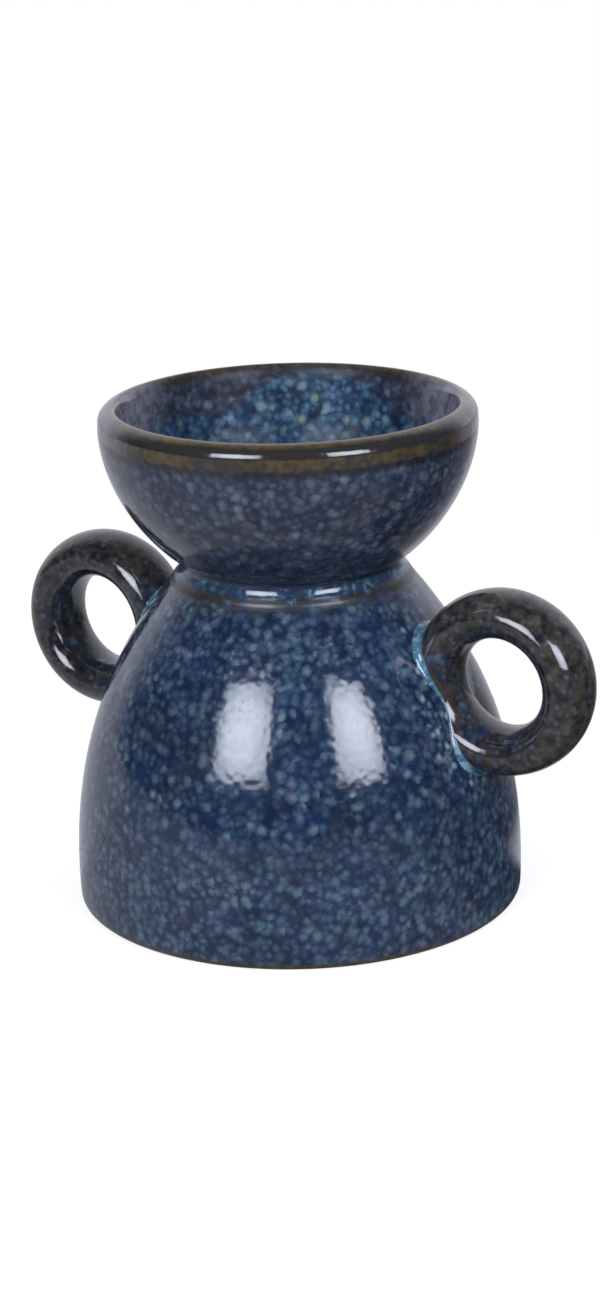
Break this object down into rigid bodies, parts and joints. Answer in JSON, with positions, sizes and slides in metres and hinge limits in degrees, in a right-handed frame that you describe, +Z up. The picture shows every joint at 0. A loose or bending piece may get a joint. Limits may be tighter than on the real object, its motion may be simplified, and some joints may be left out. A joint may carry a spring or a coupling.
{
  "type": "wax melt burner",
  "caption": "Glazed stoneware wax melt burner: a hollow dome over a tealight, with a melting bowl on its neck, ring handles at its sides and a doorway at the rear.",
  "frame": {"origin": "middle of the foot, on the surface that the burner stands on", "axes": "+Z up; the handles stand along X; the tealight doorway faces +Y and the closed front faces -Y"},
  "size_m": [0.1506, 0.1042, 0.1169],
  "materials": {
    "dome_glaze": "glossy speckled blue reactive glaze",
    "bowl_glaze": "glossy speckled slate blue reactive glaze with a brown lip",
    "handle_glaze": "glossy dark brown and navy glaze",
    "pooled_glaze": "glossy pooled bright blue glaze",
    "cup_foil": "bright pressed foil",
    "candle_wax": "satin white wax",
    "sustainer_tin": "tinned",
    "wick_cotton": "waxed braided cotton"
  },
  "bodies": {
    "burner": {"dome_body": "dome_glaze", "melt_bowl": "bowl_glaze", "neck_slip_collar": "pooled_glaze", "left_handle": "handle_glaze", "right_handle": "handle_glaze", "left_slip_seam": "pooled_glaze", "right_slip_seam": "pooled_glaze"},
    "tealight": {"tealight_cup": "cup_foil", "tealight_wax": "candle_wax", "wick_sustainer": "sustainer_tin", "wick": "wick_cotton"}
  },
  "joints": [
    {"name": "tealight_slide", "type": "slide", "parent": "burner", "child": "tealight", "axis": [0, 1, 0], "range_m": [0, 0.08]}
  ]
}
